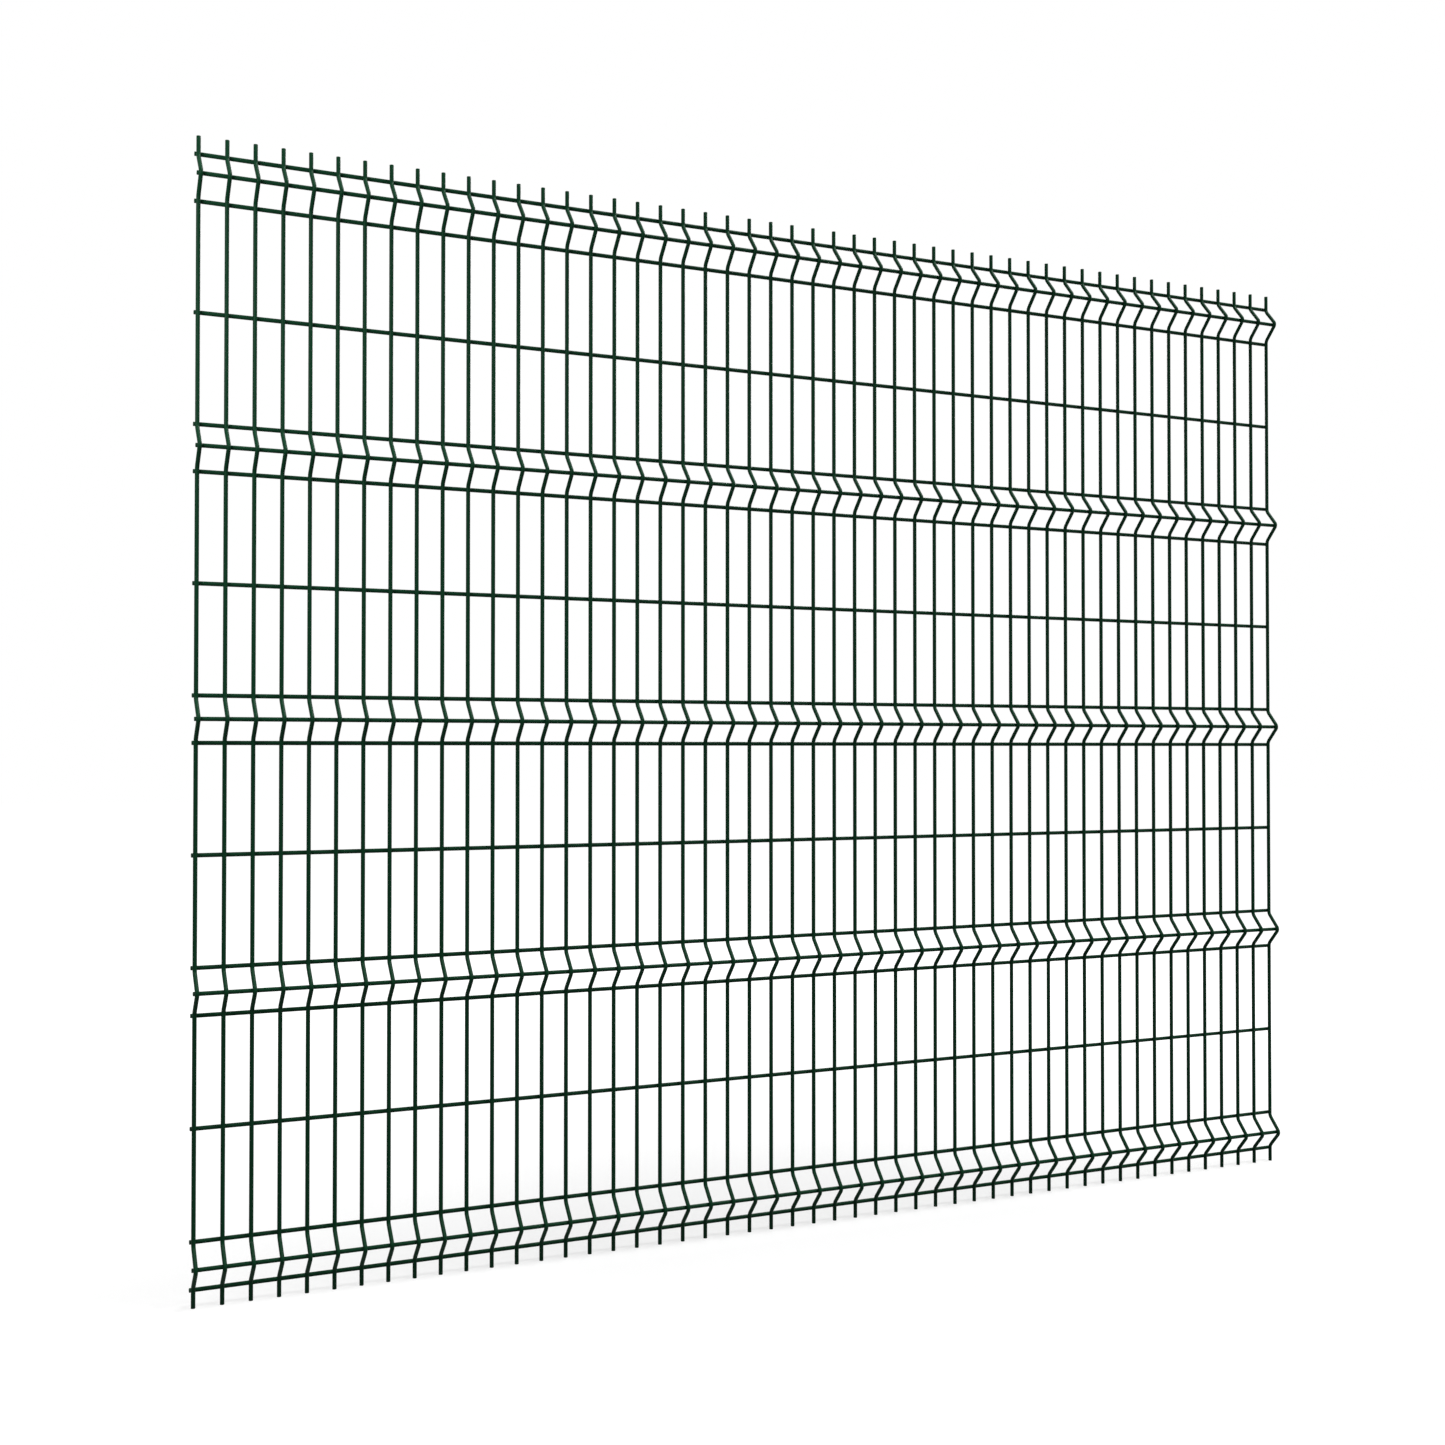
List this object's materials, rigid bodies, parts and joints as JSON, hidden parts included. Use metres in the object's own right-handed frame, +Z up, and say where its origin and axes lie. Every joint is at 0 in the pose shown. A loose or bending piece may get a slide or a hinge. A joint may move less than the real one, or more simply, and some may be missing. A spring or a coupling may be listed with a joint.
{
  "type": "welded mesh fence panel",
  "caption": "Rigid welded wire mesh fence panel in dark green coating, with V-shaped folds that stiffen it across its full width and free wire ends at top and bottom.",
  "frame": {"origin": "centre of the lower cut end of the centre upright, on the panel's middle plane; the panel's lowest level", "axes": "+X along the panel's width, +Y to its back, where the straight line wires lie, +Z up; the folds' crests point to -Y, the front"},
  "size_m": [2.512, 0.0444, 2.083],
  "materials": {
    "green_coating": "satin dark green powder coating over welded steel wire"
  },
  "bodies": {
    "root": {"left_edge_upright": "green_coating", "centre_upright": "green_coating", "right_edge_upright": "green_coating", "fold_1_crest_wire_with_uprights": "green_coating", "fold_2_crest_wire_with_uprights": "green_coating", "fold_3_crest_wire_with_uprights": "green_coating", "fold_4_crest_wire_with_uprights": "green_coating", "fold_5_crest_wire_with_uprights": "green_coating", "fold_1_lower_wire": "green_coating", "fold_1_upper_wire": "green_coating", "span_1_middle_wire": "green_coating", "fold_2_lower_wire": "green_coating", "fold_2_upper_wire": "green_coating", "span_2_middle_wire": "green_coating", "fold_3_lower_wire": "green_coating", "fold_3_upper_wire": "green_coating", "span_3_middle_wire": "green_coating", "fold_4_lower_wire": "green_coating", "fold_4_upper_wire": "green_coating", "span_4_middle_wire": "green_coating", "fold_5_lower_wire": "green_coating", "fold_5_upper_wire": "green_coating"}
  },
  "joints": []
}
